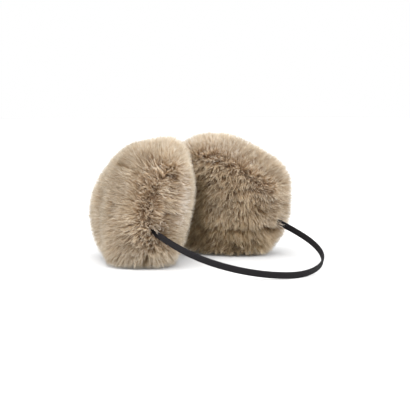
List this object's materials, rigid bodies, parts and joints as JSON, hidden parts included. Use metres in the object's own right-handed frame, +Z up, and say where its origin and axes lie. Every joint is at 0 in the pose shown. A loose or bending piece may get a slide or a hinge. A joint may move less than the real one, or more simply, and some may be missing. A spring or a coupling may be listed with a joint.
{
  "type": "fur earmuffs",
  "caption": "Fur earmuffs lying on a surface: deep-fur ear pads, leaning together at the top, on a flat springy headband whose bow rests in front of them.",
  "frame": {"origin": "middle of the footprint, on the surface that the earmuffs lie on", "axes": "+Z up, +X from the left pad to the right one, +Y from the headband's bow to the pads"},
  "size_m": [0.1822, 0.2082, 0.1093],
  "materials": {
    "fur": "deep plush fur, pale tips over darker roots",
    "band_cloth": "matte woven cover with fine slanting ribs"
  },
  "bodies": {
    "root": {"fur_pad_left": "fur", "fur_pad_right": "fur", "headband": "band_cloth"}
  },
  "joints": []
}
